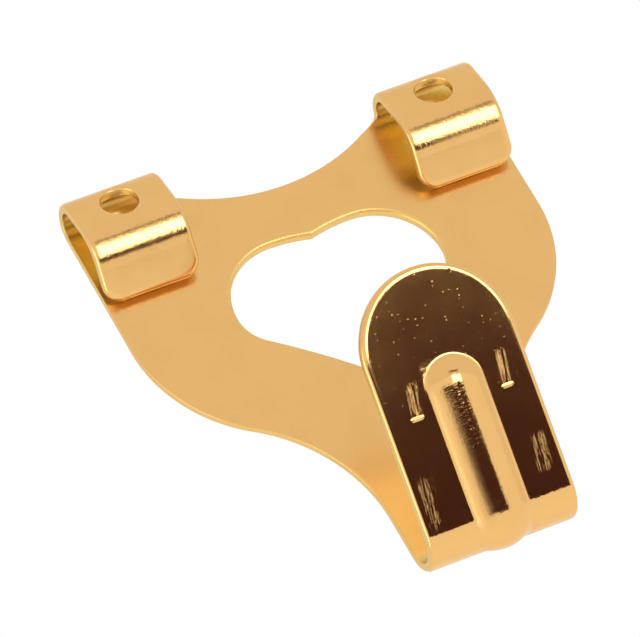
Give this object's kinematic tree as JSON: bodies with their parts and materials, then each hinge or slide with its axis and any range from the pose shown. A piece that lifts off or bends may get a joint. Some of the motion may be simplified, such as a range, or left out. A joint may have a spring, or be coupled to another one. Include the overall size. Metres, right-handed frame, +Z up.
{
  "type": "picture hook",
  "caption": "Picture hook folded from one brass sheet: nail loops rolled over the top corners, a lobed cut-out in the plate and a ribbed hook leaf that carries a frame's wire or ring.",
  "frame": {"origin": "on the back face, on the centre line, level with the holes where the nails leave the plate", "axes": "+Z up the wall, +Y into the wall, the front looks along -Y"},
  "size_m": [0.033, 0.0136, 0.0393],
  "materials": {
    "brass": "bright plated brass with fine tool marks"
  },
  "bodies": {
    "root": {"hook_plate": "brass"}
  },
  "joints": []
}
